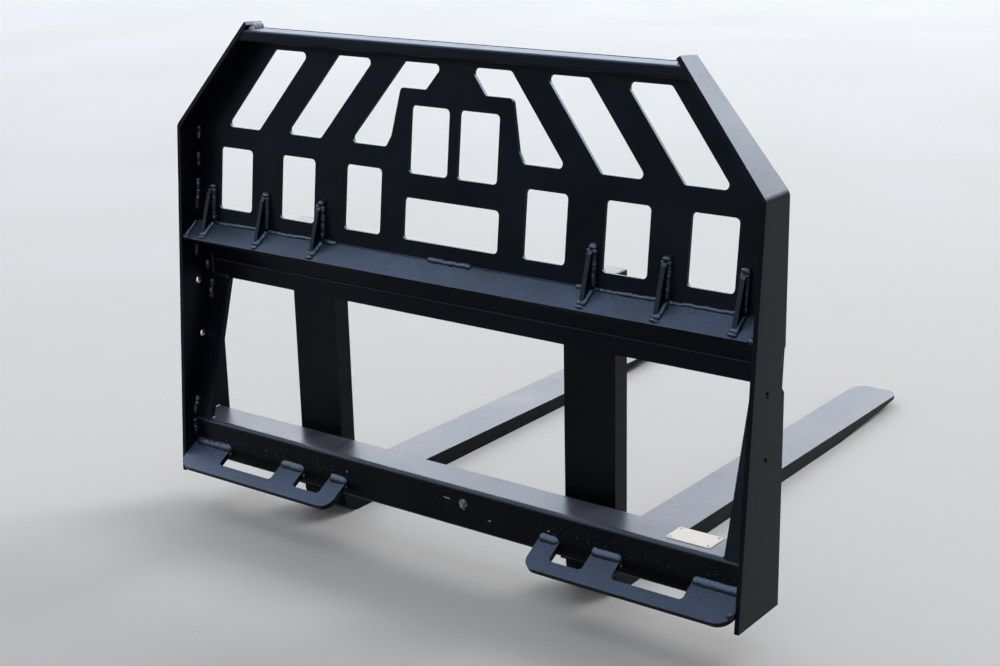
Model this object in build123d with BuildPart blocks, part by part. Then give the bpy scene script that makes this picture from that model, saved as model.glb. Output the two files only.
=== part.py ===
from build123d import *
import math
import os

os.makedirs("parts", exist_ok=True)

# A pallet fork attachment for a loader: a welded frame that carries two sliding forks.
# Millimetres. X runs across the frame, Y forward along the forks, Z up from the ground.

# Clearances
weld_gap = 0.3
slide_gap = 0.5
hook_gap = 0.6
pin_gap = 0.05
head_gap = 1.0
pocket_gap = 3.0
lower_lip_gap = 5.0

# Frame width and heights, stacked up from the ground
overall_width = 1200.0
beam_foot_z = 93.0
frame_opening = 262.0
upper_bar_height = 94.0
guard_sill_rise = 46.5
wing_bend_rise = 153.0
wing_shoulder_rise = 191.2

# Side wings
wing_plate = 8.0
wing_foot_drop = 25.0
wing_top_inset = 160.4
wing_tip_rise = 14.2
wing_foot_depth = 124.8
wing_bend_depth = 71.2
wing_top_depth = 43.4
wing_bend_radius = 17.0
relief_foot_drop = 11.0
relief_ramp = 7.0
relief_height = 70.0
relief_low_depth = 7.0
relief_top_depth = 2.6
wing_hole_radius = 6.0
wing_hole_depth = 55.0
wing_hole_rise = 257.0
wing_hole_pitch = 104.0

# Guard plate: its rear face leans forward from the window sill
guard_plate_t = 6.0
guard_lean = 6.84
guard_sill_depth = 42.0
guard_skirt = 28.0
window_width = 82.0
window_height = 113.0
window_radius = 8.0
window_first = 190.8
window_margin = 55.9
window_count = 3
centre_window_width = 198.8
centre_window_height = 71.0
slot_rail = 38.0
slot_head_margin = 36.8
slot_width = 83.3
slot_first = 27.0
slot_margin = 70.1
slot_lean = 38.77
slot_count = 3
crest_web = 20.0
crest_rail = 41.0
crest_rim = 27.5
panel_head_drop = 43.1
panel_head_side = 23.6
panel_foot_rise = 19.0
panel_foot_side = 40.3

# Top tube
tube_depth = 40.0
tube_height = 20.0
tube_wall = 2.5
tube_radius = 4.0

# Coupler pocket
lip_plate = 8.0
lip_length = 46.5
lip_slope = 35.0
pocket_plate_t = 6.0
pocket_foot_rise = 31.0
rib_plate = 8.0
rib_pitch = 134.5
rib_inset = 39.0
rib_foot_inset = 7.4
rib_head_width = 11.9
rib_shoulder_rise = 28.0
rib_crest_slope = 37.0

# Carriage bars and latch notches
bar_plate = 16.0
lower_bar_drop = 17.0
lower_bar_height = 80.0
notch_count = 9
notch_first = 94.5
notch_margin = 85.2
notch_depth = 8.0
notch_side_gap = 1.5

# Lower beam and guide bars
beam_size = 75.0
beam_wall = 6.0
beam_radius = 8.0
guide_width = 39.0
guide_plate = 10.0
guide_head_depth = 13.4
guide_foot_inset = 1.6

# Lock plates
lock_plate_t = 10.0
lock_slope = 30.0
lock_root_rise = 26.5
lock_length = 63.0
lock_inner_tab = 40.0
lock_inner_slot = 63.5
lock_middle_tab = 55.0
lock_outer_slot = 131.2
lock_outer_tab = 91.0
lock_inner_radius = 23.0
lock_outer_radius = 28.0
lock_slot_length = 39.0
lock_slot_radius = 7.0

# Beam fittings
plug_radius = 8.0
plug_height = 4.0
plug_edge = 1.2
plug_x = 54.0
plug_rise = 48.0
data_plate_width = 80.0
data_plate_depth = 46.0
data_plate_t = 1.0
data_plate_radius = 4.0
data_plate_inset = 74.2

# Forks, each standing at one of its notches, counted outwards from the innermost
fork_left_notch = 5
fork_right_notch = 3
fork_width = 100.0
fork_thickness = 35.0
shank_stand_off = 1.0
shank_rise = 15.0
shank_corner = 3.0
heel_radius = 38.0
crook_radius = 20.0
blade_length = 1100.0
blade_knee_back = 220.0
blade_knee_t = 26.0
blade_ramp_back = 286.0
blade_tip_rise = 19.0
blade_tip_t = 6.0
tip_corner_radius = 32.0

# Fork hooks and latch
hook_width = 80.0
hook_arm_t = 17.5
hook_lip_drop = 14.0
lower_lip_depth = 12.4
latch_radius = 6.0
latch_lift = 8.0
latch_end_chamfer = 1.5
latch_head_t = 6.0
latch_head_edge = 1.5
handle_radius = 2.5
handle_length = 50.0

# Widths and heights that follow
half_width = overall_width / 2
inner_half = half_width - wing_plate
fit_half = inner_half - weld_gap
wing_top_half = half_width - wing_top_inset
wing_foot_z = beam_foot_z - wing_foot_drop
beam_top_z = beam_foot_z + beam_size
beam_rear_depth = bar_plate + beam_size
lower_bar_foot_z = beam_foot_z - lower_bar_drop
upper_bar_foot_z = beam_top_z + frame_opening
upper_bar_top_z = upper_bar_foot_z + upper_bar_height
pocket_foot_z = upper_bar_foot_z + pocket_foot_rise
guard_sill_z = upper_bar_top_z + guard_sill_rise
wing_bend_z = guard_sill_z + wing_bend_rise
wing_top_z = wing_bend_z + wing_shoulder_rise
tube_top_z = wing_top_z - wing_tip_rise
shoulder_angle = math.atan2(wing_top_inset, wing_shoulder_rise)
inner_bend_z = wing_bend_z - wing_plate * math.tan(shoulder_angle / 2)
hook_foot_z = upper_bar_top_z + slide_gap
hook_top_z = hook_foot_z + hook_arm_t
shank_top_z = hook_top_z + shank_rise

# Depths that follow, and the frame's place: the whole part is centred on the origin
lock_angle = math.radians(lock_slope)
lock_rear_depth = beam_rear_depth + weld_gap + lock_length * math.cos(lock_angle)
shank_front = shank_stand_off + fork_thickness
tip_reach = shank_front + blade_length
carriage_y = (lock_rear_depth - tip_reach) / 2
latch_depth = bar_plate / 2
latch_head_radius = latch_depth + shank_stand_off - head_gap

# Latch notches, and the two forks' places on them
notch_pitch = (fit_half - notch_margin - notch_first) / (notch_count - 1)
fork_left_x = -notch_first - fork_left_notch * notch_pitch
fork_right_x = notch_first + fork_right_notch * notch_pitch

# Working planes. Side profiles are drawn with Y to the right and Z up, seen from +X.
side = Plane(origin=(0, carriage_y, 0), x_dir=(0, 1, 0), z_dir=(1, 0, 0))
back = Plane(origin=(0, carriage_y, 0), x_dir=(1, 0, 0), z_dir=(0, -1, 0))
plan = Plane(origin=(0, carriage_y, 0), x_dir=(1, 0, 0), z_dir=(0, 0, 1))

lean = math.radians(guard_lean)
guard_face = Plane(
    origin=(0, carriage_y - guard_sill_depth, guard_sill_z),
    x_dir=(1, 0, 0),
    z_dir=(0, -math.cos(lean), math.sin(lean)),
)
junction_depth = guard_sill_depth + guard_skirt * math.sin(lean)
junction_z = guard_sill_z - guard_skirt * math.cos(lean) - weld_gap
slope = math.radians(lip_slope)
lip_face = Plane(
    origin=(0, carriage_y - junction_depth, junction_z),
    x_dir=(1, 0, 0),
    z_dir=(0, -math.sin(slope), math.cos(slope)),
)
pocket_run = junction_depth - bar_plate - weld_gap
pocket_angle = math.atan2(pocket_run, junction_z - pocket_foot_z)
lock_face = Plane(
    origin=(0, carriage_y - beam_rear_depth - weld_gap, beam_foot_z + lock_root_rise),
    x_dir=(1, 0, 0),
    z_dir=(0, -math.sin(lock_angle), math.cos(lock_angle)),
)


def guard_depth(z):
    """Depth of the guard plate's rear face at a height."""
    return guard_sill_depth - (z - guard_sill_z) * math.tan(lean)


def shoulder_half(z):
    """Half the clear width between the wings' slanted shoulders at a height."""
    return inner_half - (z - inner_bend_z) * math.tan(shoulder_angle)


def pocket_front_depth(z):
    """Depth of the pocket plate's front face at a height."""
    rear_depth = bar_plate + weld_gap + (z - pocket_foot_z) * math.tan(pocket_angle)
    return rear_depth - pocket_plate_t / math.cos(pocket_angle)


# Wings: one bent plate each side, cut to a tapering depth, its end square to the rear edge
wing_end = Plane(
    origin=(wing_top_half, carriage_y - wing_top_depth, wing_top_z),
    z_dir=(-wing_top_inset, wing_bend_depth - wing_top_depth, wing_shoulder_rise),
)
relief_foot_z = upper_bar_foot_z - relief_foot_drop
wing_hole_low_z = wing_foot_z + wing_hole_rise
with BuildPart() as wing_right:
    with BuildSketch(back):
        with BuildLine():
            FilletPolyline(
                (half_width, wing_foot_z),
                (half_width, wing_bend_z),
                (wing_top_half, wing_top_z),
                radius=wing_bend_radius,
            )
            offset(amount=wing_plate, side=Side.LEFT)
        make_face()
    extrude(amount=wing_foot_depth)
    with BuildSketch(side):
        with BuildLine():
            Polyline(
                (0, wing_foot_z),
                (-wing_foot_depth, wing_foot_z),
                (-wing_bend_depth, wing_bend_z),
                (-wing_top_depth, wing_top_z),
                (0, wing_top_z),
                (0, relief_foot_z + relief_height),
                (-relief_top_depth, relief_foot_z + relief_height),
                (-relief_low_depth, relief_foot_z + relief_ramp),
                (0, relief_foot_z),
                close=True,
            )
        make_face()
    extrude(amount=half_width, mode=Mode.INTERSECT)
    split(bisect_by=wing_end, keep=Keep.BOTTOM)
    with Locations(side.offset(half_width)):
        with Locations(
            (-wing_hole_depth, wing_hole_low_z),
            (-wing_hole_depth, wing_hole_low_z + wing_hole_pitch),
        ):
            Hole(radius=wing_hole_radius, depth=2 * wing_plate)
wing_right.part.label = "wing_right"
export_step(wing_right.part, "parts/wing_right.step")

with BuildPart() as wing_left:
    mirror(wing_right.part, about=Plane.YZ)
wing_left.part.label = "wing_left"
export_step(wing_left.part, "parts/wing_left.step")

# Guard plate: outline follows the wings, windows below and slanted slots above
guard_head = (tube_top_z - guard_sill_z) / math.cos(lean)
guard_shoulder = (inner_bend_z - guard_sill_z) / math.cos(lean)
guard_head_half = shoulder_half(tube_top_z) - weld_gap / math.cos(shoulder_angle)
window_outer = fit_half - window_margin - window_width / 2
window_pitch = (window_outer - window_first) / (window_count - 1)
slot_foot = window_height + slot_rail
slot_head = guard_head - slot_head_margin
slot_run = (slot_head - slot_foot) * math.tan(math.radians(slot_lean))
slot_outer = fit_half - slot_margin - slot_run - slot_width
slot_pitch = (slot_outer - slot_first) / (slot_count - 1)
crest_half = window_width + crest_web / 2
crest_foot = centre_window_height + crest_rail
panel_head = slot_head - panel_head_drop
panel_run = panel_head_drop * math.tan(math.radians(slot_lean))
crest_head = panel_head - crest_rim
with BuildPart() as guard_plate:
    with BuildSketch(guard_face) as guard_outline:
        with BuildLine():
            Polyline(
                (0, -guard_skirt),
                (fit_half, -guard_skirt),
                (fit_half, guard_shoulder),
                (guard_head_half, guard_head),
                (0, guard_head),
            )
            mirror(about=Plane.YZ)
        make_face()
        fillet(
            guard_outline.vertices().group_by(Axis.X)[0].sort_by(Axis.Y)[-1:]
            + guard_outline.vertices().group_by(Axis.X)[-1].sort_by(Axis.Y)[-1:],
            radius=wing_bend_radius - wing_plate,
        )
    extrude(amount=-guard_plate_t)
    with BuildSketch(guard_face) as upright_windows:
        for number in range(window_count):
            window_x = window_first + number * window_pitch
            with Locations((window_x, window_height / 2), (-window_x, window_height / 2)):
                RectangleRounded(window_width, window_height, window_radius)
        with Locations((0, centre_window_height / 2)):
            RectangleRounded(centre_window_width, centre_window_height, window_radius)
        crest_x = (window_width + crest_web) / 2
        crest_centre = (crest_foot + crest_head) / 2
        with Locations((crest_x, crest_centre), (-crest_x, crest_centre)):
            RectangleRounded(window_width, crest_head - crest_foot, window_radius)
    extrude(amount=-guard_plate_t, mode=Mode.SUBTRACT)
    with BuildSketch(guard_face) as slanted_slots:
        with BuildLine():
            Polyline(
                (slot_first, slot_head),
                (slot_first + slot_width, slot_head),
                (slot_first + slot_width + slot_run, slot_foot),
                (slot_first + slot_run, slot_foot),
                (crest_half + panel_foot_side, slot_foot + panel_foot_rise),
                (crest_half + panel_head_side, panel_head),
                (slot_first + panel_run, panel_head),
                close=True,
            )
        make_face()
        for number in range(1, slot_count):
            head_x = slot_first + number * slot_pitch
            with BuildLine():
                Polyline(
                    (head_x, slot_head),
                    (head_x + slot_width, slot_head),
                    (head_x + slot_width + slot_run, slot_foot),
                    (head_x + slot_run, slot_foot),
                    close=True,
                )
            make_face()
        mirror(about=Plane.YZ)
        fillet(slanted_slots.vertices(), radius=window_radius)
    extrude(amount=-guard_plate_t, mode=Mode.SUBTRACT)
guard_plate.part.label = "guard_plate"
export_step(guard_plate.part, "parts/guard_plate.step")

# Top tube: hollow section mitred to the wings' shoulders
tube_mid_z = tube_top_z - tube_height / 2
tube_mid_depth = guard_depth(tube_top_z - tube_height) + weld_gap + tube_depth / 2
shoulder_face = Plane(
    origin=(inner_half, 0, inner_bend_z),
    x_dir=(0, 1, 0),
    z_dir=(math.cos(shoulder_angle), 0, math.sin(shoulder_angle)),
)
shoulder_face_left = Plane(
    origin=(-inner_half, 0, inner_bend_z),
    x_dir=(0, 1, 0),
    z_dir=(-math.cos(shoulder_angle), 0, math.sin(shoulder_angle)),
)
with BuildPart() as top_tube:
    with BuildSketch(side):
        with Locations((-tube_mid_depth, tube_mid_z)):
            RectangleRounded(tube_depth, tube_height, tube_radius)
            RectangleRounded(
                tube_depth - 2 * tube_wall,
                tube_height - 2 * tube_wall,
                tube_radius - tube_wall,
                mode=Mode.SUBTRACT,
            )
    extrude(amount=inner_half, both=True)
    split(bisect_by=shoulder_face.offset(-weld_gap), keep=Keep.BOTTOM)
    split(bisect_by=shoulder_face_left.offset(-weld_gap), keep=Keep.BOTTOM)
top_tube.part.label = "top_tube"
export_step(top_tube.part, "parts/top_tube.step")

# Coupler lip: sloping plate below the guard plate's foot
with BuildPart() as coupler_lip:
    with BuildSketch(side):
        with Locations((-junction_depth, junction_z)):
            Rectangle(lip_length, lip_plate, rotation=lip_slope, align=(Align.MAX, Align.MAX))
    extrude(amount=fit_half, both=True)
coupler_lip.part.label = "coupler_lip"
export_step(coupler_lip.part, "parts/coupler_lip.step")

# Pocket plate: from under the lip down to the upper carriage bar
with BuildPart() as pocket_plate:
    with BuildSketch(side):
        with Locations((-bar_plate - weld_gap, pocket_foot_z)):
            Rectangle(
                pocket_plate_t,
                2 * (guard_sill_z - pocket_foot_z),
                rotation=math.degrees(pocket_angle),
                align=(Align.MIN, Align.CENTER),
            )
    extrude(amount=fit_half, both=True)
    split(bisect_by=lip_face.offset(-lip_plate - weld_gap), keep=Keep.BOTTOM)
    split(bisect_by=back.offset(bar_plate + weld_gap), keep=Keep.TOP)
pocket_plate.part.label = "pocket_plate"
export_step(pocket_plate.part, "parts/pocket_plate.step")

# Upper carriage bar, with a row of latch notches for each fork
notch_half = latch_radius + notch_side_gap
notch_row = (notch_count - 1) * notch_pitch
with BuildPart() as upper_carriage_bar:
    with BuildSketch(back):
        with Locations((0, upper_bar_foot_z)):
            Rectangle(2 * fit_half, upper_bar_height, align=(Align.CENTER, Align.MIN))
        for sign in (-1, 1):
            with Locations((sign * (notch_first + notch_row / 2), upper_bar_top_z)):
                with GridLocations(notch_pitch, 0, notch_count, 1):
                    Rectangle(2 * notch_half, 2 * notch_depth, mode=Mode.SUBTRACT)
    extrude(amount=bar_plate)
upper_carriage_bar.part.label = "upper_carriage_bar"
export_step(upper_carriage_bar.part, "parts/upper_carriage_bar.step")

# Lower carriage bar, welded to the beam's front face
with BuildPart() as lower_carriage_bar:
    with BuildSketch(back):
        with Locations((0, lower_bar_foot_z)):
            Rectangle(2 * fit_half, lower_bar_height, align=(Align.CENTER, Align.MIN))
    extrude(amount=bar_plate - weld_gap)
lower_carriage_bar.part.label = "lower_carriage_bar"
export_step(lower_carriage_bar.part, "parts/lower_carriage_bar.step")

# Lower beam: square hollow section between the wings
with BuildPart() as lower_beam:
    with BuildSketch(side):
        with Locations((-bar_plate - beam_size / 2, beam_foot_z + beam_size / 2)):
            RectangleRounded(beam_size, beam_size, beam_radius)
            RectangleRounded(
                beam_size - 2 * beam_wall,
                beam_size - 2 * beam_wall,
                beam_radius - beam_wall,
                mode=Mode.SUBTRACT,
            )
    extrude(amount=fit_half, both=True)
lower_beam.part.label = "lower_beam"
export_step(lower_beam.part, "parts/lower_beam.step")

# Guide bars: sloping flats from the upper bar's foot to the beam's rear corner
guide_foot_depth = beam_rear_depth - guide_foot_inset
guide_angle = math.atan2(guide_foot_depth - guide_head_depth, frame_opening)
with BuildPart() as guide_bar_right:
    with BuildSketch(side.offset(fit_half - guide_width)):
        with Locations((-guide_head_depth, upper_bar_foot_z)):
            Rectangle(
                guide_plate,
                3 * frame_opening,
                rotation=-math.degrees(guide_angle),
                align=(Align.MIN, Align.CENTER),
            )
    extrude(amount=guide_width)
    split(bisect_by=Plane.XY.offset(upper_bar_foot_z - weld_gap), keep=Keep.BOTTOM)
    split(bisect_by=Plane.XY.offset(beam_top_z + weld_gap), keep=Keep.TOP)
guide_bar_right.part.label = "guide_bar_right"
export_step(guide_bar_right.part, "parts/guide_bar_right.step")

with BuildPart() as guide_bar_left:
    mirror(guide_bar_right.part, about=Plane.YZ)
guide_bar_left.part.label = "guide_bar_left"
export_step(guide_bar_left.part, "parts/guide_bar_left.step")


# Gusset ribs between the guard plate and the lip
def gusset_rib(centre_x):
    """One rib, trimmed to the lip's top face and the guard plate's rear face."""
    lip_run = lip_length * math.cos(slope) - rib_foot_inset
    foot_depth = junction_depth + lip_run
    foot_z = junction_z - lip_run * math.tan(slope)
    shoulder_z = guard_sill_z + rib_shoulder_rise
    shoulder_depth = guard_depth(shoulder_z) + rib_head_width
    crest_z = shoulder_z + shoulder_depth * math.tan(math.radians(rib_crest_slope))
    with BuildPart() as rib:
        with BuildSketch(side.offset(centre_x)):
            with BuildLine():
                Polyline(
                    (-foot_depth, foot_z - lip_plate),
                    (-foot_depth, foot_z),
                    (-shoulder_depth, shoulder_z),
                    (0, crest_z),
                    (0, foot_z - lip_plate),
                    close=True,
                )
            make_face()
        extrude(amount=rib_plate / 2, both=True)
        split(bisect_by=lip_face.offset(weld_gap), keep=Keep.TOP)
        split(bisect_by=guard_face.offset(weld_gap), keep=Keep.TOP)
    return rib


for number, rib_place in enumerate(("outer", "middle", "inner")):
    rib_x = inner_half - rib_inset - number * rib_pitch
    for side_name, sign in (("left", -1), ("right", 1)):
        rib = gusset_rib(sign * rib_x)
        rib.part.label = f"rib_{side_name}_{rib_place}"
        export_step(rib.part, f"parts/rib_{side_name}_{rib_place}.step")

# Lock plates: comb-shaped plates whose open slots face the beam
lock_root_over = lock_plate_t * math.tan(lock_angle)
lock_outer_x = fit_half - lock_outer_tab
lock_middle_x = lock_outer_x - lock_outer_slot
lock_tab_x = lock_middle_x - lock_middle_tab
lock_slot_x = lock_tab_x - lock_inner_slot
lock_inner_x = lock_slot_x - lock_inner_tab
with BuildPart() as lock_plate_right:
    with BuildSketch(lock_face) as lock_outline:
        with BuildLine():
            Polyline(
                (lock_inner_x, lock_root_over),
                (lock_inner_x, -lock_length),
                (fit_half, -lock_length),
                (fit_half, lock_root_over),
                close=True,
            )
        make_face()
        fillet(
            lock_outline.vertices().group_by(Axis.Y)[0].sort_by(Axis.X)[0],
            radius=lock_inner_radius,
        )
        fillet(
            lock_outline.vertices().group_by(Axis.X)[-1].sort_by(Axis.Y)[0],
            radius=lock_outer_radius,
        )
        for slot_start, slot_end in ((lock_slot_x, lock_tab_x), (lock_middle_x, lock_outer_x)):
            with Locations(((slot_start + slot_end) / 2, 0)):
                RectangleRounded(
                    slot_end - slot_start,
                    2 * lock_slot_length,
                    lock_slot_radius,
                    mode=Mode.SUBTRACT,
                )
    extrude(amount=-lock_plate_t)
    split(bisect_by=back.offset(beam_rear_depth + weld_gap), keep=Keep.TOP)
lock_plate_right.part.label = "lock_plate_right"
export_step(lock_plate_right.part, "parts/lock_plate_right.step")

with BuildPart() as lock_plate_left:
    mirror(lock_plate_right.part, about=Plane.YZ)
lock_plate_left.part.label = "lock_plate_left"
export_step(lock_plate_left.part, "parts/lock_plate_left.step")

# Round plug on the beam's rear face
with BuildPart() as beam_plug:
    with BuildSketch(back.offset(beam_rear_depth)):
        with Locations((plug_x, beam_foot_z + plug_rise)):
            Circle(plug_radius)
    extrude(amount=plug_height)
    fillet(beam_plug.faces().sort_by(Axis.Y)[0].edges(), radius=plug_edge)
beam_plug.part.label = "beam_plug"
export_step(beam_plug.part, "parts/beam_plug.step")

# Blank data plate on the beam's flat top
data_plate_mid_depth = bar_plate + beam_radius + data_plate_depth / 2
data_plate_x = fit_half - data_plate_inset - data_plate_width / 2
with BuildPart() as data_plate:
    with BuildSketch(plan.offset(beam_top_z)):
        with Locations((data_plate_x, -data_plate_mid_depth)):
            RectangleRounded(data_plate_width, data_plate_depth, data_plate_radius)
    extrude(amount=data_plate_t)
data_plate.part.label = "data_plate"
export_step(data_plate.part, "parts/data_plate.step")


# Forks: shank and tapered blade in one forging
def fork_forging(centre_x):
    """One fork: side profile with heel, crook and ramped tip, then the tip's round corners."""
    knee_reach = tip_reach - blade_knee_back
    ramp_reach = tip_reach - blade_ramp_back
    with BuildPart() as fork:
        with BuildSketch(side.offset(centre_x)) as profile:
            with BuildLine():
                Polyline(
                    (shank_stand_off, shank_top_z),
                    (shank_stand_off, 0),
                    (ramp_reach, 0),
                    (tip_reach, blade_tip_rise),
                    (tip_reach, blade_tip_rise + blade_tip_t),
                    (knee_reach, blade_knee_t),
                    (shank_front, fork_thickness),
                    (shank_front, shank_top_z),
                    close=True,
                )
            make_face()
            fillet(
                profile.vertices().sort_by_distance((shank_stand_off, 0))[0],
                radius=heel_radius,
            )
            fillet(
                profile.vertices().sort_by_distance((shank_front, fork_thickness))[0],
                radius=crook_radius,
            )
        extrude(amount=fork_width / 2, both=True)
        fillet(
            fork.faces().sort_by(Axis.Z)[-1].edges().filter_by(Axis.Y),
            radius=shank_corner,
        )
        fillet(
            fork.faces().sort_by(Axis.Y)[-1].edges().filter_by(Axis.Z),
            radius=tip_corner_radius,
        )
    return fork


# Upper hook: arm over the upper bar, lip behind it, and the latch pin's bore
def upper_hook(centre_x):
    """The hook that hangs the fork on the upper carriage bar."""
    lip_front = -bar_plate - hook_gap
    lip_foot_z = hook_foot_z - hook_lip_drop
    hook_depth = pocket_front_depth(hook_foot_z) - pocket_gap
    lip_foot_depth = pocket_front_depth(lip_foot_z) - pocket_gap
    with BuildPart() as hook:
        with BuildSketch(side.offset(centre_x)):
            with BuildLine():
                Polyline(
                    (shank_stand_off, hook_foot_z),
                    (shank_stand_off, hook_top_z),
                    (-hook_depth, hook_top_z),
                    (-hook_depth, hook_foot_z),
                    (-lip_foot_depth, lip_foot_z),
                    (lip_front, lip_foot_z),
                    (lip_front, hook_foot_z),
                    close=True,
                )
            make_face()
        extrude(amount=hook_width / 2, both=True)
        with Locations(plan.offset(hook_top_z)):
            with Locations((centre_x, -latch_depth)):
                Hole(radius=latch_radius + pin_gap, depth=hook_arm_t)
    return hook


# Lower hook: arm under the lower bar, lip behind it
def lower_hook(centre_x):
    """The hook that keeps the fork's shank against the lower carriage bar."""
    lip_front = -bar_plate - hook_gap
    lip_rear = lip_front - lower_lip_depth
    arm_top_z = lower_bar_foot_z - slide_gap
    lip_top_z = beam_foot_z - lower_lip_gap
    with BuildPart() as hook:
        with BuildSketch(side.offset(centre_x)):
            with BuildLine():
                Polyline(
                    (shank_stand_off, arm_top_z),
                    (lip_front, arm_top_z),
                    (lip_front, lip_top_z),
                    (lip_rear, lip_top_z),
                    (lip_rear, arm_top_z - hook_arm_t),
                    (shank_stand_off, arm_top_z - hook_arm_t),
                    close=True,
                )
            make_face()
        extrude(amount=hook_width / 2, both=True)
    return hook


# Latch pin, lifted clear of the notches, with its cross handle
def latch_pin(centre_x):
    """A drop pin: shaft through the hook, headed above it, bored for the handle."""
    shaft_foot_z = hook_foot_z
    head_foot_z = hook_top_z + weld_gap + latch_lift
    pin_section = Plane(
        origin=(centre_x, carriage_y - latch_depth, 0), x_dir=(1, 0, 0), z_dir=(0, -1, 0)
    )
    pin_axis = Axis((centre_x, carriage_y - latch_depth, 0), (0, 0, 1))
    with BuildPart() as pin:
        with BuildSketch(pin_section):
            with BuildLine():
                Polyline(
                    (0, shaft_foot_z),
                    (latch_radius - latch_end_chamfer, shaft_foot_z),
                    (latch_radius, shaft_foot_z + latch_end_chamfer),
                    (latch_radius, head_foot_z),
                    (latch_head_radius, head_foot_z),
                    (latch_head_radius, head_foot_z + latch_head_t - latch_head_edge),
                    (latch_head_radius - latch_head_edge, head_foot_z + latch_head_t),
                    (0, head_foot_z + latch_head_t),
                    close=True,
                )
            make_face()
        revolve(axis=pin_axis)
        with BuildSketch(side.offset(centre_x)):
            with Locations((-latch_depth, head_foot_z + latch_head_t / 2)):
                Circle(handle_radius)
        extrude(amount=latch_head_radius, both=True, mode=Mode.SUBTRACT)
    return pin


def latch_handle(centre_x):
    """The cross rod that is pressed through the pin's head."""
    handle_z = hook_top_z + weld_gap + latch_lift + latch_head_t / 2
    with BuildPart() as handle:
        with BuildSketch(side.offset(centre_x)):
            with Locations((-latch_depth, handle_z)):
                Circle(handle_radius)
        extrude(amount=handle_length / 2, both=True)
    return handle


for fork_name, fork_x in (("left", fork_left_x), ("right", fork_right_x)):
    fork = fork_forging(fork_x)
    fork.part.label = f"fork_{fork_name}"
    export_step(fork.part, f"parts/fork_{fork_name}.step")
    hook_above = upper_hook(fork_x)
    hook_above.part.label = f"upper_hook_{fork_name}"
    export_step(hook_above.part, f"parts/upper_hook_{fork_name}.step")
    hook_below = lower_hook(fork_x)
    hook_below.part.label = f"lower_hook_{fork_name}"
    export_step(hook_below.part, f"parts/lower_hook_{fork_name}.step")
    pin = latch_pin(fork_x)
    pin.part.label = f"latch_pin_{fork_name}"
    export_step(pin.part, f"parts/latch_pin_{fork_name}.step")
    handle = latch_handle(fork_x)
    handle.part.label = f"latch_handle_{fork_name}"
    export_step(handle.part, f"parts/latch_handle_{fork_name}.step")
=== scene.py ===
"""Paint, welds and small parts for the pallet fork attachment, with floor, lamps and camera.

Metres. X runs across the frame, Y forward along the forks, Z up from the ground.
A depth is measured rearwards from the carriage bars' front plane.
"""

import math
import random

import bmesh
import bpy
from mathutils import Matrix, Vector


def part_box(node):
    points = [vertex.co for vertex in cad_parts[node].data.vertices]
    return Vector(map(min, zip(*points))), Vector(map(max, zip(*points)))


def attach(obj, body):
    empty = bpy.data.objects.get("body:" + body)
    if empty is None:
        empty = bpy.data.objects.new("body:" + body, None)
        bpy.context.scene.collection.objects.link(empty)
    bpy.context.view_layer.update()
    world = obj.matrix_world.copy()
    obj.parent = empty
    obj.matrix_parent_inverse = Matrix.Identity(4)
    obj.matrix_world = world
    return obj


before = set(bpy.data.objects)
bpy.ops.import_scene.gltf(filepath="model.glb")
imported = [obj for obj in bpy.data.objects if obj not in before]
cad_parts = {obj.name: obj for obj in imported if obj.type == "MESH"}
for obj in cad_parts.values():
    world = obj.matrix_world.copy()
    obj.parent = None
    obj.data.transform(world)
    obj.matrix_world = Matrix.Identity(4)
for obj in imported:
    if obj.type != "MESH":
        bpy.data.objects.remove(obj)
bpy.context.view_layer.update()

# Places on the frame
carriage_y = -0.49507
bar_rear = 0.0168
beam_rear = 0.091
beam_top = 0.168
beam_foot = 0.093
upper_bar_foot = 0.430
lock_root_z = 0.1195

# The guard plate's sill, and the corner where the lip meets the plate
sill_z = 0.5705
sill_depth = 0.042
lean = math.radians(6.84)
junction_depth = 0.04533
junction_z = 0.5424
lip_slope = math.radians(35)

# The wings' inner faces and shoulders
wing_face = 0.5917
shoulder_x = 0.590
shoulder_z = 0.7206
shoulder_slope = math.radians(40.0)
tube_top = 0.9005

# Places across
rib_places = (0.553, 0.4185, 0.284)
fork_places = {"left": -0.352, "right": 0.249}


def at(x, depth, z):
    """A point of the frame from its place across, its depth and its height."""
    return Vector((x, carriage_y - depth, z))


def guard_depth(z):
    """Depth of the guard plate's rear face at a height."""
    return sill_depth - (z - sill_z) * math.tan(lean)


# ---------------------------------------------------------------- materials


def new_material(name):
    """An empty node material with its shader and its object coordinates."""
    material = bpy.data.materials.new(name)
    material.use_nodes = True
    nodes = material.node_tree.nodes
    nodes.clear()
    output = nodes.new("ShaderNodeOutputMaterial")
    shader = nodes.new("ShaderNodeBsdfPrincipled")
    place = nodes.new("ShaderNodeTexCoord")
    material.node_tree.links.new(shader.outputs["BSDF"], output.inputs["Surface"])
    return material, shader, place


def add(material, kind, sets=(), **links):
    """A node with its settings; links join other sockets to its inputs by name."""
    node = material.node_tree.nodes.new(kind)
    for name, value in sets:
        if name in node.inputs:
            node.inputs[name].default_value = value
        else:
            setattr(node, name, value)
    for name, socket in links.items():
        material.node_tree.links.new(socket, node.inputs[name])
    return node


def noise(material, place, scale, detail=2.0, roughness=0.5, stretch=None):
    """Noise on object coordinates; stretch scales it along each axis."""
    vector = place.outputs["Object"]
    if stretch:
        mapping = add(material, "ShaderNodeMapping", [("Scale", stretch)], Vector=vector)
        vector = mapping.outputs["Vector"]
    sets = [("Scale", scale), ("Detail", detail), ("Roughness", roughness)]
    return add(material, "ShaderNodeTexNoise", sets, Vector=vector).outputs["Fac"]


def cells(material, place, scale):
    """The outputs of a cell pattern on object coordinates."""
    sets = [("Scale", scale), ("Randomness", 1.0)]
    vector = place.outputs["Object"]
    return add(material, "ShaderNodeTexVoronoi", sets, Vector=vector).outputs


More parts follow.
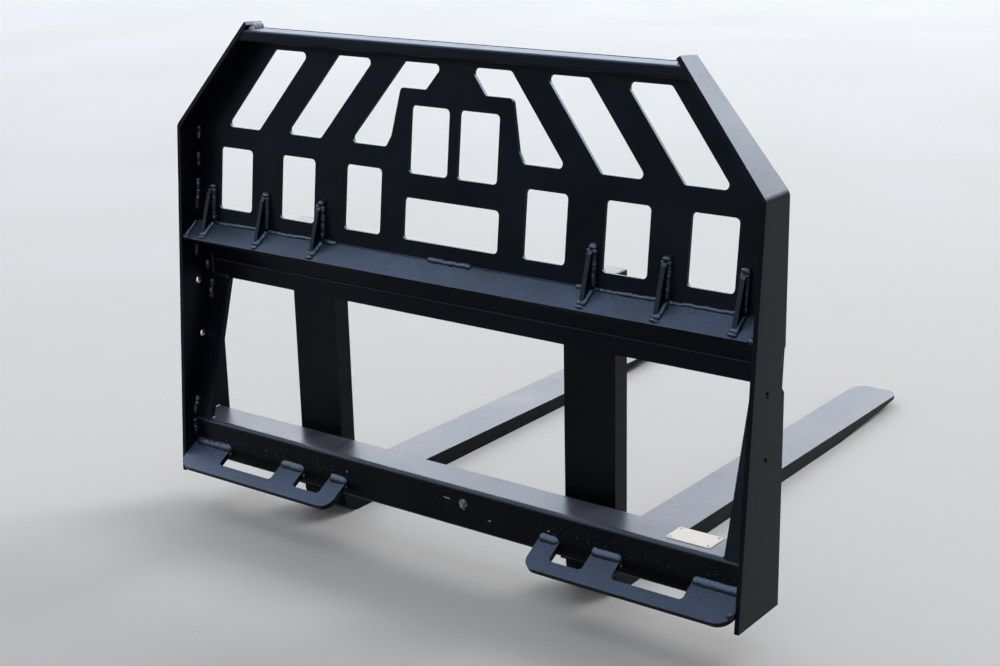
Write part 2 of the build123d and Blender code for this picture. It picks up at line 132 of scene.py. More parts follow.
def ramp(material, factor, low, high, low_value=0.0, high_value=1.0):
    """Maps a factor between two limits onto two values, clamped."""
    sets = [("From Min", low), ("From Max", high), ("To Min", low_value), ("To Max", high_value)]
    return add(material, "ShaderNodeMapRange", sets, Value=factor).outputs["Result"]


def combine(material, kind, first, second):
    """Maths on two sockets, or on a socket and a number."""
    node = add(material, "ShaderNodeMath", [("operation", kind)])
    for socket, value in zip(node.inputs, (first, second)):
        if isinstance(value, (int, float)):
            socket.default_value = value
        else:
            material.node_tree.links.new(value, socket)
    return node.outputs["Value"]


def colour_socket(sockets, name):
    """The colour socket of a name, among sockets that share names."""
    return next(s for s in sockets if s.name == name and s.type == "RGBA")


def blend_colours(material, factor, first, second):
    """A colour between two, by a factor; each is a colour or a socket."""
    node = add(material, "ShaderNodeMix", [("data_type", "RGBA")], Factor=factor)
    for name, value in (("A", first), ("B", second)):
        socket = colour_socket(node.inputs, name)
        if isinstance(value, tuple):
            socket.default_value = (*value, 1.0)
        else:
            material.node_tree.links.new(value, socket)
    return colour_socket(node.outputs, "Result")


def bump(material, height, distance, strength, below=None):
    """Surface relief from a height, on top of other relief."""
    sets = [("Distance", distance), ("Strength", strength)]
    node = add(material, "ShaderNodeBump", sets, Height=height)
    if below is not None:
        material.node_tree.links.new(below, node.inputs["Normal"])
    return node.outputs["Normal"]


primer_grey = (0.20, 0.205, 0.215)
paint_sheen = (0.70, 0.84, 1.0, 1.0)


def painted_steel(
    name,
    dark,
    light,
    dust_and_sheen,
    gloss,
    dust_and_sheen_amount,
    dents,
    grain=420.0,
    shine=0.08,
    spread=7.0,
):
    """Satin paint on steel: orange peel, faint dents, rubs, chips, and dust on top faces that also
    carries a painted sky reflection.

    dents, grain and spread are the scales of the dents, the peel and the clouding;
    gloss is a roughness, and shine the strength of the mirror reflection.
    """
    material, shader, place = new_material(name)
    links = material.node_tree.links

    # Clouding between the two shades of paint
    cloud = noise(material, place, spread, 5.0, 0.55)
    colour = blend_colours(material, ramp(material, cloud, 0.35, 0.68), dark, light)

    # A film of dust on faces that look up, lightened and tinted blue as a painted reflection of
    # the sky
    facing = add(material, "ShaderNodeNewGeometry").outputs["Normal"]
    upward = add(material, "ShaderNodeSeparateXYZ", Vector=facing).outputs["Z"]
    dust_and_sheen_on_top = ramp(material, upward, 0.35, 0.95)
    speckle = noise(material, place, 240.0, 3.0, 0.7)
    dust_and_sheen_film = combine(material, "MULTIPLY", ramp(material, cloud, 0.3, 0.7, 0.45, 1.0), dust_and_sheen_on_top)
    dust_and_sheen_film = combine(material, "MULTIPLY", dust_and_sheen_film, ramp(material, speckle, 0.3, 0.7, 0.6, 1.0))
    dust_and_sheen_film = combine(material, "MULTIPLY", dust_and_sheen_film, dust_and_sheen_amount)
    colour = blend_colours(material, dust_and_sheen_film, colour, dust_and_sheen)

    # Small chips, in patches
    patch = ramp(material, noise(material, place, 9.0, 2.0), 0.64, 0.74)
    chip = ramp(material, cells(material, place, 30.0)["Distance"], 0.03, 0.05, 1.0, 0.0)
    chip = combine(material, "MULTIPLY", chip, patch)
    colour = blend_colours(material, chip, colour, primer_grey)
    links.new(colour, shader.inputs["Base Color"])

    # Duller where the paint is rubbed or dusty
    rub = ramp(material, noise(material, place, 26.0, 4.0, 0.6, (1.0, 1.0, 7.0)), 0.60, 0.78)
    satin = ramp(material, cloud, 0.3, 0.7, gloss - 0.04, gloss + 0.05)
    satin = combine(material, "ADD", satin, combine(material, "MULTIPLY", rub, 0.10))
    satin = combine(material, "ADD", satin, combine(material, "MULTIPLY", dust_and_sheen_film, 0.12))
    links.new(satin, shader.inputs["Roughness"])

    # Relief: orange peel, dents, then the chips' pits
    peel = bump(material, noise(material, place, grain, 2.0), 0.0004, 0.10)
    waves = bump(material, noise(material, place, dents, 3.0), 0.002, 0.16, peel)
    pits = bump(material, chip, 0.0005, -0.6, waves)
    links.new(pits, shader.inputs["Normal"])

    shader.inputs["Specular IOR Level"].default_value = shine
    shader.inputs["Specular Tint"].default_value = paint_sheen
    return material


# In each paint below, the colour laid on faces that look up is real dust, lightened and tinted as
# a painted reflection of the bright sky
frame_paint = painted_steel(
    "frame_paint",
    dark=(0.0010, 0.0019, 0.0034),
    light=(0.0021, 0.0034, 0.0058),
    dust_and_sheen=(0.20, 0.27, 0.40),
    gloss=0.31,
    dust_and_sheen_amount=0.46,
    dents=34.0,
)
tube_paint = painted_steel(
    "tube_paint",
    dark=(0.0030, 0.0040, 0.0062),
    light=(0.0052, 0.0070, 0.0105),
    dust_and_sheen=(0.16, 0.20, 0.27),
    gloss=0.46,
    dust_and_sheen_amount=0.30,
    dents=20.0,
)
beam_paint = painted_steel(
    "beam_paint",
    dark=(0.0018, 0.0021, 0.0027),
    light=(0.0034, 0.0038, 0.0048),
    dust_and_sheen=(0.20, 0.23, 0.28),
    gloss=0.28,
    dust_and_sheen_amount=0.40,
    dents=16.0,
)
fork_paint = painted_steel(
    "fork_paint",
    dark=(0.0020, 0.0021, 0.0025),
    light=(0.0046, 0.0048, 0.0054),
    dust_and_sheen=(0.30, 0.32, 0.35),
    gloss=0.31,
    dust_and_sheen_amount=0.50,
    dents=22.0,
    grain=300.0,
)
# Weld paint: lighter and bluer than the frame paint, as a painted highlight from the sky on the
# beads' tops
weld_paint = painted_steel(
    "weld_paint",
    dark=(0.0035, 0.0048, 0.0072),
    light=(0.0080, 0.0108, 0.0155),
    dust_and_sheen=(0.13, 0.18, 0.26),
    gloss=0.30,
    dust_and_sheen_amount=0.36,
    dents=48.0,
    grain=520.0,
    shine=0.21,
    spread=60.0,
)
plug_paint = painted_steel(
    "plug_paint",
    dark=(0.020, 0.020, 0.022),
    light=(0.34, 0.34, 0.35),
    dust_and_sheen=(0.30, 0.30, 0.30),
    gloss=0.40,
    dust_and_sheen_amount=0.30,
    dents=120.0,
    spread=150.0,
)
# Light grey paint: real chips scuffed down to the primer, and on the left tube weld a painted
# glint
chipped_paint_and_glint = painted_steel(
    "chipped_paint_and_glint",
    dark=(0.14, 0.14, 0.15),
    light=(0.46, 0.45, 0.44),
    dust_and_sheen=(0.40, 0.40, 0.40),
    gloss=0.45,
    dust_and_sheen_amount=0.20,
    dents=200.0,
    grain=520.0,
    spread=220.0,
)


def plated_steel(name, bright, dull, gloss):
    """Dull zinc plating: soft spangle, streaks from turning, and stains."""
    material, shader, place = new_material(name)
    links = material.node_tree.links
    shades = cells(material, place, 260.0)["Color"]
    spangle = add(material, "ShaderNodeSeparateColor", Color=shades).outputs["Red"]
    stain = ramp(material, noise(material, place, 60.0, 4.0, 0.6), 0.4, 0.7)
    factor = combine(material, "MAXIMUM", combine(material, "MULTIPLY", spangle, 0.45), stain)
    links.new(blend_colours(material, factor, bright, dull), shader.inputs["Base Color"])
    links.new(ramp(material, factor, 0.0, 1.0, gloss, gloss + 0.22), shader.inputs["Roughness"])
    streaks = noise(material, place, 220.0, 2.0, 0.5, (1.0, 1.0, 9.0))
    links.new(bump(material, streaks, 0.0002, 0.2), shader.inputs["Normal"])
    shader.inputs["Metallic"].default_value = 0.3
    shader.inputs["Specular IOR Level"].default_value = 0.2
    return material


latch_zinc = plated_steel("latch_zinc", (0.36, 0.36, 0.35), (0.19, 0.19, 0.185), 0.46)
rivet_metal = plated_steel("rivet_metal", (0.30, 0.29, 0.28), (0.16, 0.155, 0.15), 0.44)


def plate_finish():
    """Cream enamel on the data plate: soft mottling and hairline scuffs."""
    cream = (0.80, 0.735, 0.655)
    pale_cream = (0.84, 0.78, 0.705)
    worn_cream = (0.60, 0.55, 0.48)
    material, shader, place = new_material("plate_cream")
    links = material.node_tree.links
    cloud = noise(material, place, 60.0, 4.0)
    colour = blend_colours(material, ramp(material, cloud, 0.3, 0.7), cream, pale_cream)
    scuff = ramp(material, noise(material, place, 420.0, 3.0, 0.6, (1.0, 0.12, 1.0)), 0.66, 0.80)
    worn = combine(material, "MULTIPLY", scuff, 0.35)
    links.new(blend_colours(material, worn, colour, worn_cream), shader.inputs["Base Color"])
    links.new(ramp(material, scuff, 0.0, 1.0, 0.62, 0.80), shader.inputs["Roughness"])
    links.new(bump(material, cloud, 0.0003, 0.15), shader.inputs["Normal"])
    shader.inputs["Specular IOR Level"].default_value = 0.2
    return material


finishes = {
    "top_tube": tube_paint,
    "lower_beam": beam_paint,
    "beam_plug": plug_paint,
    "data_plate": plate_finish(),
}
for side in fork_places:
    for piece_name in ("fork", "upper_hook", "lower_hook"):
        finishes[f"{piece_name}_{side}"] = fork_paint
    for piece_name in ("latch_pin", "latch_handle"):
        finishes[f"{piece_name}_{side}"] = latch_zinc

for node_name, node_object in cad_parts.items():
    if not node_object.data.materials:
        node_object.data.materials.append(None)
    for material_slot in node_object.material_slots:
        material_slot.link = "OBJECT"
        material_slot.material = finishes.get(node_name, frame_paint)


# ---------------------------------------------------------------- new pieces


def finish_piece(name, work, material, body):
    """Turns a bmesh into a piece that rides on a body."""
    bmesh.ops.recalc_face_normals(work, faces=work.faces[:])
    mesh = bpy.data.meshes.new(name)
    work.to_mesh(mesh)
    work.free()
    mesh.materials.append(material)
    mesh.shade_smooth()
    piece = bpy.data.objects.new(name, mesh)
    bpy.context.scene.collection.objects.link(piece)
    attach(piece, body)


def join(work, part):
    """Adds one bmesh to another."""
    carrier = bpy.data.meshes.new("carrier")
    part.to_mesh(carrier)
    part.free()
    work.from_mesh(carrier)
    bpy.data.meshes.remove(carrier)


# A bead's build: sides round it, its ripples and swelling as shares of the radius,
# how far a ring strays with the ring before it, and how its ends draw in
bead_sides = 14
ripple_rise = 0.025
swell_least = 0.96
swell_most = 1.04
stray_share = 0.6
stray_kept = 0.86
end_reach = 0.8
end_size = 0.30


def bead(work, start, end, radius, seed, ripple=0.0030, wander=0.10, sink=(0, 0)):
    """A weld bead along a joint: rippled, its ends drawn in, sunk by a depth and a height."""
    chance = random.Random(seed)
    start = start + Vector((0, -sink[0], sink[1]))
    end = end + Vector((0, -sink[0], sink[1]))
    along = end - start
    rings = max(6, 2 * round(along.length / ripple))
    part = bmesh.new()
    bmesh.ops.create_cone(
        part,
        cap_ends=True,
        segments=bead_sides,
        radius1=radius,
        radius2=radius,
        depth=along.length,
    )
    long_edges = [e for e in part.edges if abs(e.verts[0].co.z - e.verts[1].co.z) > 1e-6]
    bmesh.ops.subdivide_edges(part, edges=long_edges, cuts=rings - 1, use_grid_fill=True)
    step = along.length / rings

    # Every second ring stands out; the line swells and strays a little on its way
    swell = [chance.uniform(swell_least, swell_most) for _ in range(rings + 1)]
    shift_x = [0.0]
    shift_y = [0.0]
    for _ in range(rings):
        for shift in (shift_x, shift_y):
            stray = chance.uniform(-wander, wander) * stray_share * radius
            shift.append(stray_kept * shift[-1] + stray)
    for vert in part.verts:
        ring = min(rings, max(0, round((vert.co.z + along.length / 2) / step)))
        size = swell[ring] * (1 + ripple_rise if ring % 2 else 1 - ripple_rise)
        close = min(1.0, min(ring, rings - ring) * step / (end_reach * radius))
        size *= end_size + (1 - end_size) * math.sqrt(1 - (1 - close) ** 2)
        vert.co.x = vert.co.x * size + shift_x[ring]
        vert.co.y = vert.co.y * size + shift_y[ring]
    turn = along.to_track_quat("Z", "Y").to_matrix().to_4x4()
    placing = Matrix.Translation((start + end) / 2) @ turn
    bmesh.ops.transform(part, matrix=placing, verts=part.verts[:])
    join(work, part)


def dab(work, place, radius, seed, flatten=(1.0, 1.0, 1.0)):
    """A lump of weld metal: a dented ball, half sunk in the plates."""
    chance = random.Random(seed)
    part = bmesh.new()
    bmesh.ops.create_icosphere(part, subdivisions=3, radius=radius)
    turns = [Vector([chance.uniform(-1, 1) for _ in range(3)]).normalized() for _ in range(5)]
    for vert in part.verts:
        way = vert.co.normalized()
        rise = sum(max(0.0, way.dot(turn)) ** 4 for turn in turns)
        vert.co *= 0.84 + 0.20 * rise
    bmesh.ops.scale(part, vec=flatten, verts=part.verts[:])
    bmesh.ops.translate(part, vec=place, verts=part.verts[:])
    join(work, part)


# Seeds are plain counters, one for each bead and lump; the drops of spatter share two.

# Beads that hold the six ribs to the lip and to the guard plate, and a lump at each end.
# They sit to the side of the rib's middle, and just deep enough to stay within the plates.
lip_down = Vector((0, -math.cos(lip_slope), -math.sin(lip_slope)))
lip_out = Vector((0, -math.sin(lip_slope), math.cos(lip_slope)))
lip_corner = at(0, junction_depth, junction_z)
lip_bead_side = 0.0032
lip_bead_sink = lip_out * -0.0008
guard_bead_side = 0.0042
guard_bead_back = 0.0012
guard_bead_low = 0.5450
guard_bead_head = 0.6065
crown_z = 0.6072
rib_welds = bmesh.new()
number = 0
for sign in (-1, 1):
    for rib_x in rib_places:
        for face in (-1, 1):
            number += 1
            line = lip_corner + Vector((sign * rib_x + face * lip_bead_side, 0, 0))
            foot = line + lip_down * 0.0370 + lip_bead_sink
            corner = line + lip_down * 0.0010 + lip_bead_sink
            bead(rib_welds, foot, corner, 0.0064, number)
            x = sign * rib_x + face * guard_bead_side
            low = at(x, guard_depth(guard_bead_low) + guard_bead_back, guard_bead_low)
            head = at(x, guard_depth(guard_bead_head) + guard_bead_back, guard_bead_head)
            bead(rib_welds, low, head, 0.0058, number + 40)
        crown = at(sign * rib_x + 0.001, guard_depth(crown_z) + 0.0022, crown_z)
        dab(rib_welds, crown, 0.0092, number + 80, (1.0, 0.72, 0.72))
        toe = lip_corner + Vector((sign * rib_x, 0, 0)) + lip_down * 0.0385
        dab(rib_welds, toe, 0.0068, number + 90, (1.35, 0.8, 0.6))
finish_piece("rib_welds", rib_welds, weld_paint, "frame")

# Runs in the corner between the guard plate and the lip: from, to and radius
lip_runs = (
    (-0.548, -0.4235, 0.0042),
    (-0.4135, -0.289, 0.0042),
    (-0.279, -0.246, 0.0050),
    (-0.043, 0.049, 0.0056),
    (0.256, 0.279, 0.0046),
    (0.289, 0.4135, 0.0042),
    (0.4235, 0.548, 0.0042),
)
lip_welds = bmesh.new()
for number, (x_from, x_to, size) in enumerate(lip_runs):
    bead(
        lip_welds,
        at(x_from, junction_depth, junction_z),
        at(x_to, junction_depth, junction_z),
        size,
        number + 200,
        wander=0.16,
        sink=(-0.0004, -0.0006),
    )
finish_piece("lip_welds", lip_welds, weld_paint, "frame")


def seam(work, reach, depth, z, radius, seed, wander):
    """A thin painted seam across the frame, from wing to wing."""
    bead(work, at(-reach, depth, z), at(reach, depth, z), radius, seed, 0.0046, wander)


# The seam between the pocket plate and the upper carriage bar
pocket_seam = bmesh.new()
seam(pocket_seam, 0.588, bar_rear, 0.4605, 0.0024, 300, 0.06)
finish_piece("pocket_seam", pocket_seam, frame_paint, "frame")

# The seams under the lip, where the pocket plate meets it, and along its upper corner
lip_seam = bmesh.new()
seam(lip_seam, 0.588, junction_depth + 0.0012, junction_z - 0.0125, 0.0026, 301, 0.18)
seam(lip_seam, 0.590, junction_depth, junction_z, 0.0013, 302, 0.06)
finish_piece("lip_seam", lip_seam, frame_paint, "frame")

# Beads on the wings' inner faces. On the guard plate: low and high end, and radius.
guard_runs = ((0.561, 0.620, 0.0056), (0.640, 0.668, 0.0046), (0.690, 0.716, 0.0046))
# Below the lip, down to the beam's rear face: depth and height of both ends, and radius
wing_runs = (
    (0.0527, 0.4988, 0.0552, 0.4743, 0.0046),
    (0.0289, 0.4636, 0.0309, 0.4436, 0.0056),
    (0.0190, 0.4240, 0.0275, 0.3853, 0.0062),
    (0.0800, 0.2066, 0.0896, 0.1720, 0.0062),
    (0.0918, 0.1640, 0.0918, 0.1300, 0.0050),
)
# On the upper bar's rear edge, and on the beam's top and underside
edge_runs = (
    (bar_rear, 0.432, bar_rear, 0.520, 0.0036),
    (0.026, 0.1690, 0.078, 0.1690, 0.0042),
    (0.024, 0.0922, 0.084, 0.0922, 0.0042),
)
wing_welds = bmesh.new()
for sign, seed in ((-1, 400), (1, 440)):
    face_x = sign * wing_face
    for z_low, z_high, size in guard_runs:
        low = at(face_x, guard_depth(z_low) + guard_bead_back, z_low)
        high = at(face_x, guard_depth(z_high) + guard_bead_back, z_high)
        bead(wing_welds, low, high, size, seed + round(z_low * 100), wander=0.16)
    across = Vector((face_x, 0, 0))
    lip_start = lip_corner + across + lip_down * 0.003
    bead(wing_welds, lip_start, lip_corner + across + lip_down * 0.044, 0.0046, seed + 1)
    for number, (depth_from, z_from, depth_to, z_to, size) in enumerate(wing_runs):
        first = at(face_x, depth_from, z_from)
        last = at(face_x, depth_to, z_to)
        bead(wing_welds, first, last, size, seed + 2 + number, wander=0.2)
    for number, (depth_from, z_from, depth_to, z_to, size) in enumerate(edge_runs):
        first = at(face_x, depth_from, z_from)
        bead(wing_welds, first, at(face_x, depth_to, z_to), size, seed + 10 + number)
    lip_end = lip_corner + across * 0.994 + lip_down * 0.0440
    dab(wing_welds, lip_end, 0.0066, seed + 13, (1.2, 1.0, 0.8))
dab(wing_welds, at(0.5885, 0.1290, 0.0985), 0.0066, 454, (0.9, 0.9, 1.1))
finish_piece("wing_welds", wing_welds, weld_paint, "frame")

# The top tube's ends against the wings' shoulders; the left one is light grey as a painted glint
# on its weld
crest_z = tube_top + 0.0015
crest_length = 0.0310
for side, sign, seed, finish in (("left", -1, 500, chipped_paint_and_glint), ("right", 1, 520, weld_paint)):
    end_weld = bmesh.new()
    end_x = sign * (shoulder_x - (tube_top - shoulder_z) * math.tan(shoulder_slope))
    crest_end = at(end_x, crest_length, crest_z)
    bead(end_weld, at(end_x, 0.0000, crest_z), crest_end, 0.0074, seed, wander=0.2)
    lump = at(end_x - sign * 0.004, crest_length, crest_z - 0.002)
    dab(end_weld, lump, 0.0080, seed + 1, (1.0, 0.8, 0.8))
    finish_piece(f"tube_weld_{side}", end_weld, finish, "frame")

# Roots of the lock plates' tabs on the beam's rear face, above and below,
# then short beads at the guide bars' feet, and at their heads under the upper bar
lock_tabs = ((0.2095, 0.2505), (0.3120, 0.3720), (0.4985, 0.590))
lock_under_z = lock_root_z - 0.0117
guide_inner = 0.5527
guide_outer = 0.5880
lock_welds = bmesh.new()
for sign, seed in ((-1, 600), (1, 640)):
    for number, (x_from, x_to) in enumerate(lock_tabs):
        first, last = sorted((sign * x_from, sign * x_to))
        bead(
            lock_welds,
            at(first, beam_rear, lock_root_z),
            at(last, beam_rear, lock_root_z),
            0.0128,
            seed + number,
            ripple=0.0040,
            wander=0.04,
            sink=(-0.0052, -0.0030),
        )
        under_end = at(last, beam_rear, lock_under_z)
        bead(lock_welds, at(first, beam_rear, lock_under_z), under_end, 0.0050, seed + 10 + number)
    inner = sign * guide_inner
    first, last = sorted((inner, sign * guide_outer))
    bead(lock_welds, at(first, 0.0790, beam_top), at(last, 0.0790, beam_top), 0.0046, seed + 20)
    side_end = at(inner, 0.0868, beam_top - 0.001)
    bead(lock_welds, at(inner, 0.0780, beam_top), side_end, 0.0046, seed + 21)
    head_end = at(last, 0.0150, upper_bar_foot)
    bead(lock_welds, at(first, 0.0150, upper_bar_foot), head_end, 0.0040, seed + 22)
finish_piece("lock_welds", lock_welds, weld_paint, "frame")

# Runs between the beam and the lower carriage bar, under the beam
bar_run_count = 8
bar_run_first = -0.56
bar_run_pitch = 0.145
bar_run_length = 0.075
bar_welds = bmesh.new()
for number in range(bar_run_count):
    start_x = bar_run_first + number * bar_run_pitch
    start = at(start_x, bar_rear, beam_foot + 0.0004)
    end = at(start_x + bar_run_length, bar_rear, beam_foot + 0.0004)
    bead(bar_welds, start, end, 0.0040, number + 700)
finish_piece("bar_welds", bar_welds, weld_paint, "frame")

# Hooks welded to the backs of the shanks. The upper bead stops on both sides of the latch pin.
upper_arm_low = 0.5245
upper_arm_high = 0.542
lower_arm_low = 0.058
lower_arm_high = 0.0755
hook_half = 0.040
pin_clear = 0.0155
shank_back = -0.0004
hook_bead = 0.0040
level_runs = (
    (upper_arm_high, -hook_half, -pin_clear),
    (upper_arm_high, pin_clear, hook_half),
    (lower_arm_low, -hook_half, hook_half),
)
plumb_runs = ((upper_arm_low + 0.002, upper_arm_high), (lower_arm_low, lower_arm_high - 0.002))
for (side, fork_x), seed in zip(fork_places.items(), (800, 820)):
    hook_welds = bmesh.new()
    for number, (z, x_from, x_to) in enumerate(level_runs):
        first = at(fork_x + x_from, shank_back, z)
        bead(hook_welds, first, at(fork_x + x_to, shank_back, z), hook_bead, seed + number)
    for number, (low, high) in enumerate(plumb_runs):
        for face in (-1, 1):
            x = fork_x + face * hook_half
            bead_seed = seed + 4 + 2 * number + face
            bead(hook_welds, at(x, shank_back, low), at(x, shank_back, high), hook_bead, bead_seed)
    finish_piece(f"hook_welds_{side}", hook_welds, weld_paint, f"fork_{side}_body")

# Spatter thrown on the beam's rear face above the lock plates' roots, and on the lip
beam_drops = 90
lip_drops = 34
spatter_top = 0.155
spatter = bmesh.new()
thrown = random.Random(11)
for _ in range(beam_drops):
    sign = thrown.choice((-1, 1))
    x = sign * thrown.uniform(0.21, 0.59)
    z = min(lock_root_z + 0.006 + abs(thrown.gauss(0, 0.013)), spatter_top)
    place = at(x, beam_rear + 0.0001, z)
    dab(spatter, place, thrown.uniform(0.0006, 0.0015), 900, (1.0, 0.6, 1.0))
for _ in range(lip_drops):
    sign = thrown.choice((-1, 1))
    x = sign * (thrown.choice(rib_places) + thrown.uniform(-0.03, 0.03))
    run = thrown.uniform(0.006, 0.040)
    depth = junction_depth + run * math.cos(lip_slope)
    place = at(x, depth, junction_z - run * math.sin(lip_slope))
    dab(spatter, place, thrown.uniform(0.0005, 0.0010), 901, (1.0, 1.0, 0.6))
finish_piece("weld_spatter", spatter, weld_paint, "frame")

# Places where the paint is scuffed down to the primer: across, depth, height, radius and shape
scuff_places = (
    (0.0180, beam_rear, 0.1431, 0.0042, (1.9, 0.10, 0.34)),
    (0.1080, beam_rear, 0.1221, 0.0030, (1.3, 0.12, 0.42)),
    (0.0545, beam_rear, 0.1310, 0.0016, (0.6, 0.25, 1.5)),
    (0.0560, beam_rear + 0.0008, 0.1445, 0.0026, (1.0, 0.25, 0.8)),
    (-0.2090, beam_rear, 0.1400, 0.0018, (0.8, 0.15, 1.2)),
    (0.2290, beam_rear, 0.1335, 0.0020, (0.9, 0.15, 0.8)),
    (0.5960, 0.0708, 0.6518, 0.0034, (0.45, 0.20, 1.35)),
)
scuffs = bmesh.new()
for number, (x, depth, z, radius, flatten) in enumerate(scuff_places):
    dab(scuffs, at(x, depth, z), radius, number + 950, flatten)
finish_piece("paint_scuffs", scuffs, chipped_paint_and_glint, "frame")

# Four blind rivets on the data plate, each spun from half its outline: radius and rise
rivet_inset = 0.006
rivet_steps = 20
rivet_outline = (
    (0.0007, -0.0001),
    (0.0007, 0.0008),
    (0.0011, 0.0011),
    (0.0019, 0.0008),
    (0.0026, 0.0003),
    (0.0028, -0.0001),
)
rivets = bmesh.new()
plate_low, plate_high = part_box("data_plate")
for x in (plate_low.x + rivet_inset, plate_high.x - rivet_inset):
    for y in (plate_low.y + rivet_inset, plate_high.y - rivet_inset):
        part = bmesh.new()
        points = [part.verts.new((radius, 0, rise)) for radius, rise in rivet_outline]
        profile = [part.edges.new(pair) for pair in zip(points, points[1:])]
        bmesh.ops.spin(
            part,
            geom=points + profile,
            cent=(0, 0, 0),
            axis=(0, 0, 1),
            angle=2 * math.pi,
            steps=rivet_steps,
            use_merge=True,
        )
        bmesh.ops.holes_fill(part, edges=[e for e in part.edges if e.is_boundary], sides=0)
        bmesh.ops.translate(part, vec=(x, y, plate_high.z), verts=part.verts[:])
        join(rivets, part)
finish_piece("plate_rivets", rivets, rivet_metal, "frame")


# ---------------------------------------------------------------- floor


def floor_finish():
    """Plain pale floor with the faintest mottling."""
    shaded = (0.565, 0.565, 0.55)
    plain = (0.60, 0.60, 0.585)
    material, shader, place = new_material("floor_pale")
    links = material.node_tree.links
    cloud = noise(material, place, 1.3, 5.0)
    colour = blend_colours(material, ramp(material, cloud, 0.3, 0.7), shaded, plain)
    links.new(colour, shader.inputs["Base Color"])
    links.new(ramp(material, cloud, 0.3, 0.7, 0.75, 0.85), shader.inputs["Roughness"])
    shader.inputs["Specular IOR Level"].default_value = 0.2
    return material


floor_work = bmesh.new()
bmesh.ops.create_grid(floor_work, x_segments=8, y_segments=8, size=14.0)
floor_mesh = bpy.data.meshes.new("floor")
floor_work.to_mesh(floor_mesh)
floor_work.free()
floor_mesh.materials.append(floor_finish())
floor = bpy.data.objects.new("floor", floor_mesh)
bpy.context.scene.collection.objects.link(floor)


# ---------------------------------------------------------------- lamps and sky


def lamp(name, aim, way, distance, width, height, radiance, tint):
    """A soft rectangular lamp that faces a point from a direction."""
    data = bpy.data.lights.new(name, "AREA")
    data.shape = "RECTANGLE"
    data.size = width
    data.size_y = height
    data.energy = radiance * math.pi * width * height
    data.color = tint
    light = bpy.data.objects.new(name, data)
    toward = Vector(way).normalized()
    light.location = Vector(aim) + toward * distance
    light.rotation_euler = toward.to_track_quat("Z", "Y").to_euler()
    light.visible_camera = False
    bpy.context.scene.collection.objects.link(light)


key_way = Vector((0.292, 0.763, 0.575)).normalized()
lamp(
    "key_lamp",
    aim=(0.4, -0.5, 0.6),
    way=key_way,
    distance=30.0,
    width=12.6,
    height=11.4,
    radiance=10.0,
    tint=(1.0, 0.98, 0.96),
)
lamp(
    "overhead_lamp",
    aim=(0.0, -0.3, 0.4),
    way=(-0.575, -0.014, 0.817),
    distance=20.0,
    width=12.4,
    height=11.0,
    radiance=1.2,
    tint=(0.97, 0.98, 1.0),
)
lamp(
    "far_lamp",
    aim=(0.0, -0.4, 0.2),
    way=(-0.575, 0.763, 0.34),
    distance=30.0,
    width=22.0,
    height=9.0,
    radiance=3.0,
    tint=(1.0, 0.99, 0.97),
)

world = bpy.data.worlds.new("soft_sky")
bpy.context.scene.world = world
world.use_nodes = True
sky = world.node_tree
sky.nodes.clear()


def sky_node(kind, sets=(), links=(), operation=None):
    """A node of the sky with the constants and the incoming links of its sockets."""
    node = sky.nodes.new(kind)
    if operation:
        node.operation = operation
    for socket, value in sets:
        node.inputs[socket].default_value = value
    for socket, source in links:
        sky.links.new(source, node.inputs[socket])
    return node


# What the camera, glossy and transmission rays meet: dark below, bright and blue overhead
direction = sky_node("ShaderNodeTexCoord").outputs["Generated"]
height = sky_node("ShaderNodeSeparateXYZ", links=[("Vector", direction)]).outputs["Z"]
bands = sky_node("ShaderNodeValToRGB", links=[("Fac", height)])
stops = bands.color_ramp.elements
stops[0].position = 0.0
stops[0].color = (0.045, 0.046, 0.048, 1)
stops[1].position = 1.0
stops[1].color = (0.62, 0.76, 1.0, 1)
for position, colour in (
    (0.10, (0.06, 0.061, 0.063)),
    (0.20, (0.38, 0.385, 0.395)),
    (0.33, (0.50, 0.52, 0.55)),
    (0.50, (0.66, 0.77, 0.97)),
):
    stops.new(position).color = (*colour, 1)
seen = sky_node("ShaderNodeBackground", [("Strength", 8.6)], [("Color", bands.outputs["Color"])])

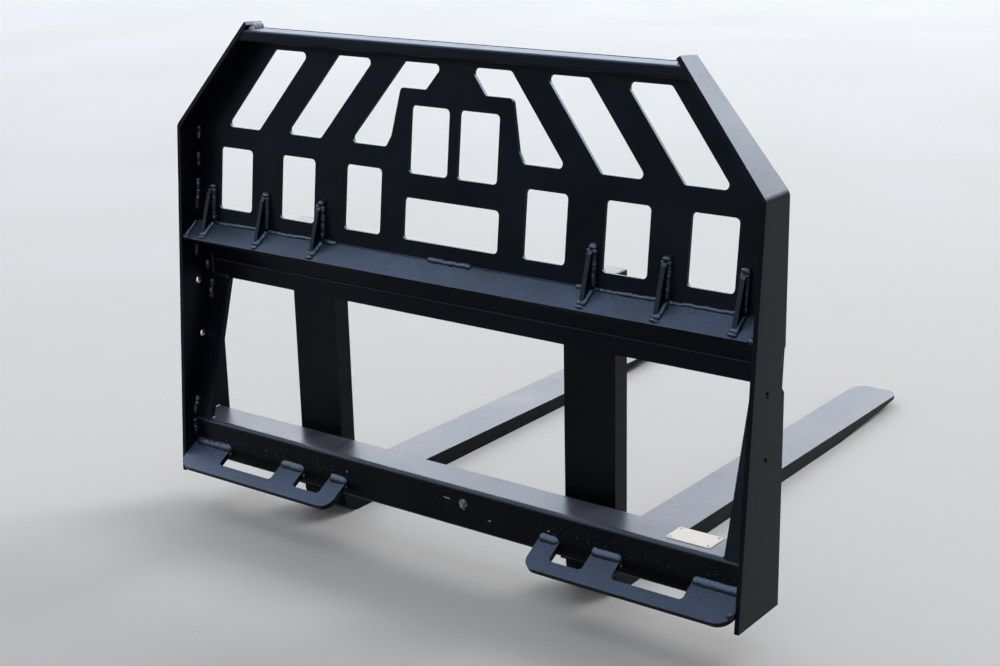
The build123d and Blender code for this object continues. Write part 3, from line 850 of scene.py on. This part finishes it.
# A bright patch of that sky around the key lamp
nearness = sky_node("ShaderNodeVectorMath", [(1, key_way)], [(0, direction)], "DOT_PRODUCT")
patch_sets = [("From Min", 0.940), ("From Max", 0.985), ("To Min", 0.0), ("To Max", 8.0)]
patch_links = [("Value", nearness.outputs["Value"])]
patch = sky_node("ShaderNodeMapRange", patch_sets, patch_links)
patch.interpolation_type = "SMOOTHSTEP"
glow_links = [("Strength", patch.outputs["Result"])]
glow = sky_node("ShaderNodeBackground", [("Color", (1.0, 0.96, 0.92, 1))], glow_links)
bright_links = [(0, seen.outputs["Background"]), (1, glow.outputs["Background"])]
bright_sky = sky_node("ShaderNodeAddShader", links=bright_links)

# The soft, even light that every other ray meets
soft = sky_node("ShaderNodeBackground", [("Strength", 0.60), ("Color", (0.80, 0.80, 0.82, 1))])

rays = sky_node("ShaderNodeLightPath").outputs
ray_links = [(0, rays["Is Camera Ray"]), (1, rays["Is Glossy Ray"])]
seen_rays = sky_node("ShaderNodeMath", links=ray_links, operation="MAXIMUM")
ray_links = [(0, seen_rays.outputs["Value"]), (1, rays["Is Transmission Ray"])]
seen_rays = sky_node("ShaderNodeMath", links=ray_links, operation="MAXIMUM")
chosen_links = [
    ("Fac", seen_rays.outputs["Value"]),
    (1, soft.outputs["Background"]),
    (2, bright_sky.outputs["Shader"]),
]
chosen = sky_node("ShaderNodeMixShader", links=chosen_links)
sky_node("ShaderNodeOutputWorld", links=[("Surface", chosen.outputs["Shader"])])


# ---------------------------------------------------------------- camera

# The photographer's place and view, fitted to the frame's straight edges
azimuth = math.radians(37.042)
elevation = math.radians(17.368)
roll = math.radians(-1.297)
ahead = Vector(
    (
        -math.sin(azimuth) * math.cos(elevation),
        math.cos(azimuth) * math.cos(elevation),
        -math.sin(elevation),
    )
)
level_right = Vector((math.cos(azimuth), math.sin(azimuth), 0))
level_up = level_right.cross(ahead)
right = math.cos(roll) * level_right + math.sin(roll) * level_up
up = -math.sin(roll) * level_right + math.cos(roll) * level_up
camera_data = bpy.data.cameras.new("camera")
camera_data.lens = 60.82
camera_data.sensor_width = 36.0
camera = bpy.data.objects.new("camera", camera_data)
bpy.context.scene.collection.objects.link(camera)
turned = Matrix((right, up, -ahead)).transposed().to_4x4()
camera.matrix_world = Matrix.Translation((1.6967, carriage_y - 2.1548, 1.2658)) @ turned
bpy.context.scene.camera = camera
bpy.context.scene.view_settings.view_transform = "Standard"
